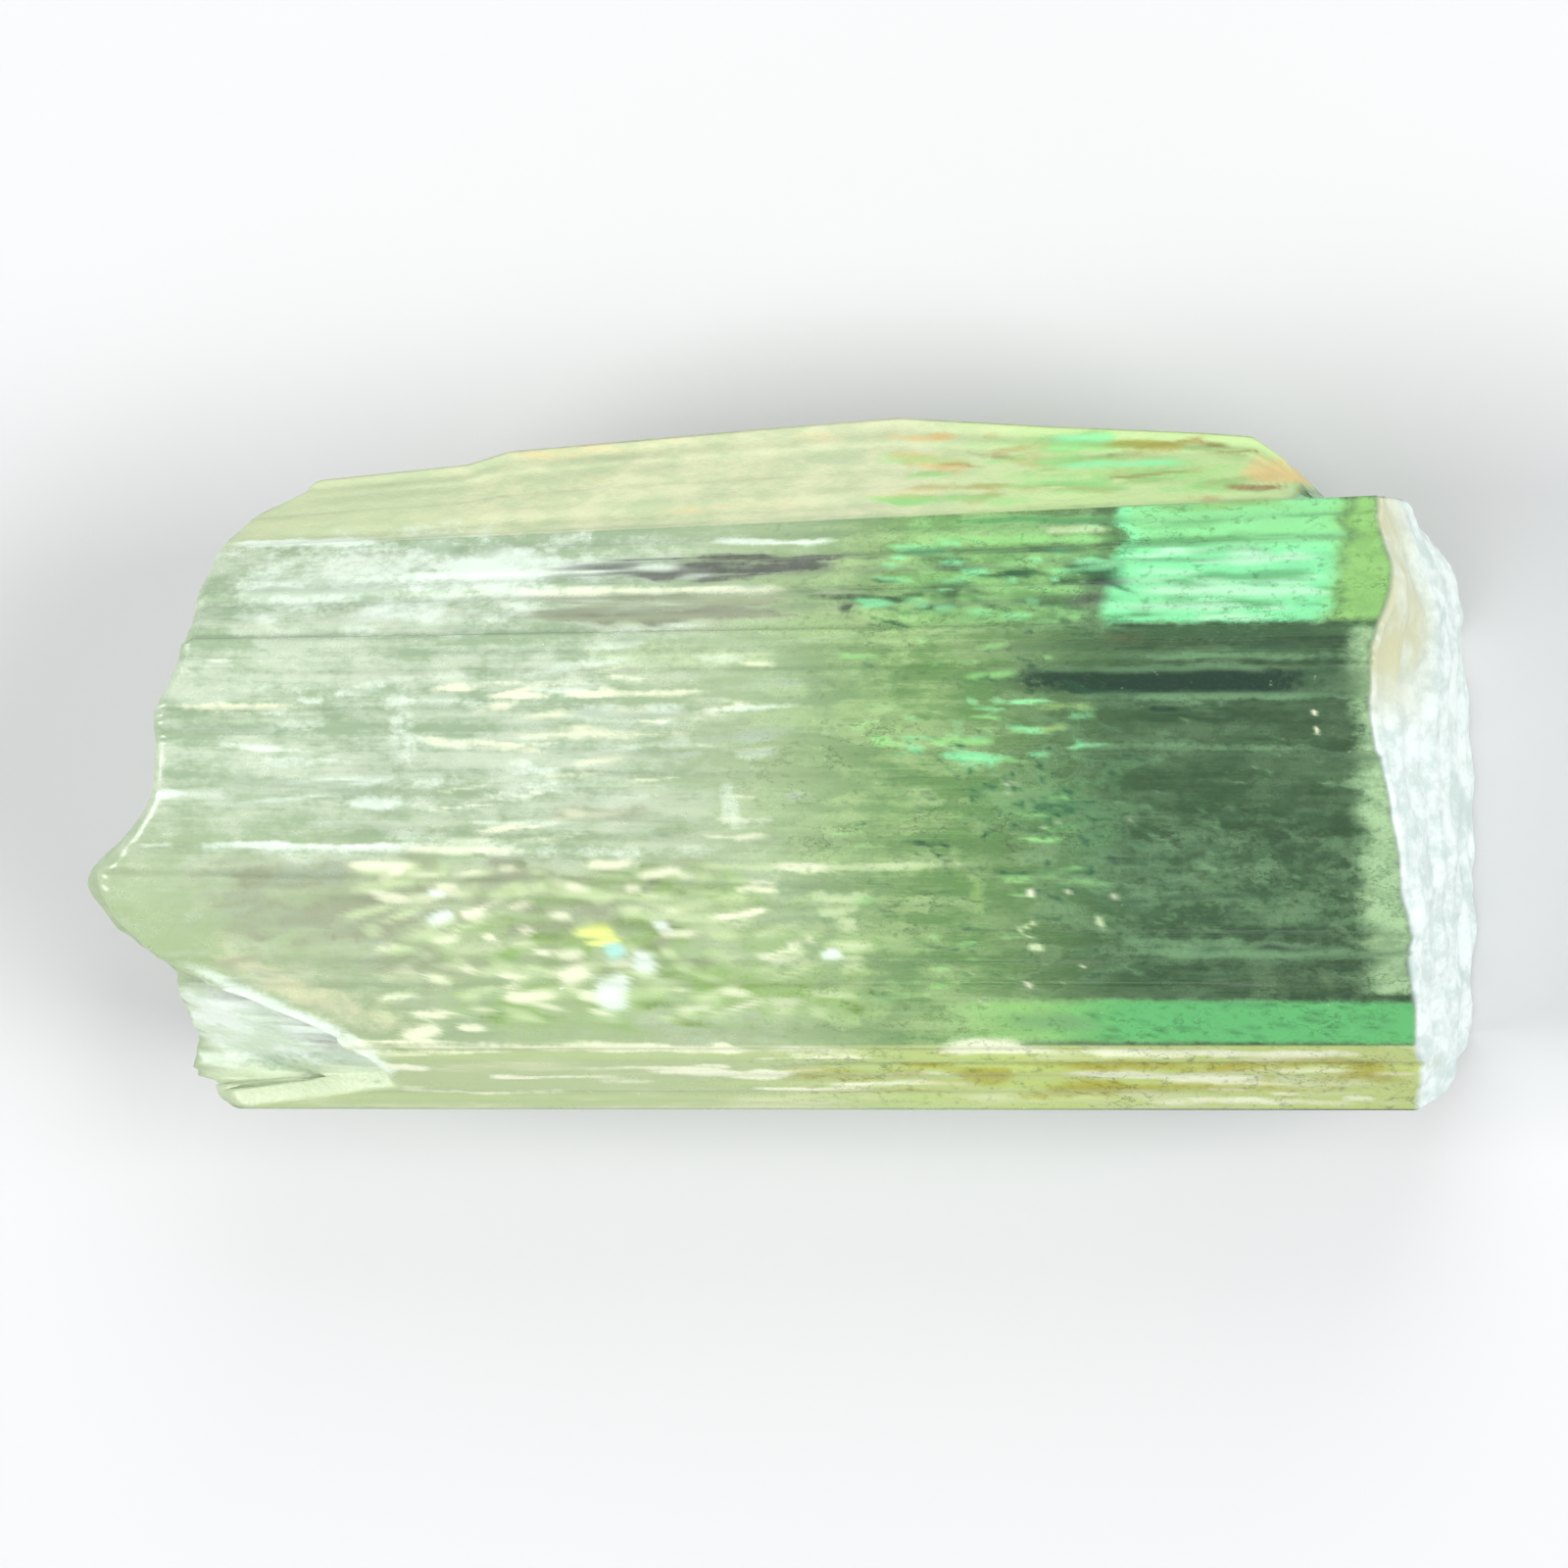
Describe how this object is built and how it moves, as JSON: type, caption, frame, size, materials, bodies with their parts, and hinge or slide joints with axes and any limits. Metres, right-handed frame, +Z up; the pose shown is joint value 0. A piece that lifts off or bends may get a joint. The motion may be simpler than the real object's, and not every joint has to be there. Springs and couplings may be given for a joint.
{
  "type": "tourmaline crystal",
  "caption": "Loose bicolour tourmaline prism, pale milky green shading to dark bottle green, striated lengthwise, with broken ends and a matte ledge along its back.",
  "frame": {"origin": "centre of the bounding box at the height of the resting face", "axes": "+X along the prism towards the dark green end, +Y towards the side with the ledge, +Z up from the resting face"},
  "size_m": [0.0292, 0.0148, 0.0093],
  "materials": {
    "tourmaline": "glossy"
  },
  "bodies": {
    "root": {"tourmaline_crystal": "tourmaline"}
  },
  "joints": []
}
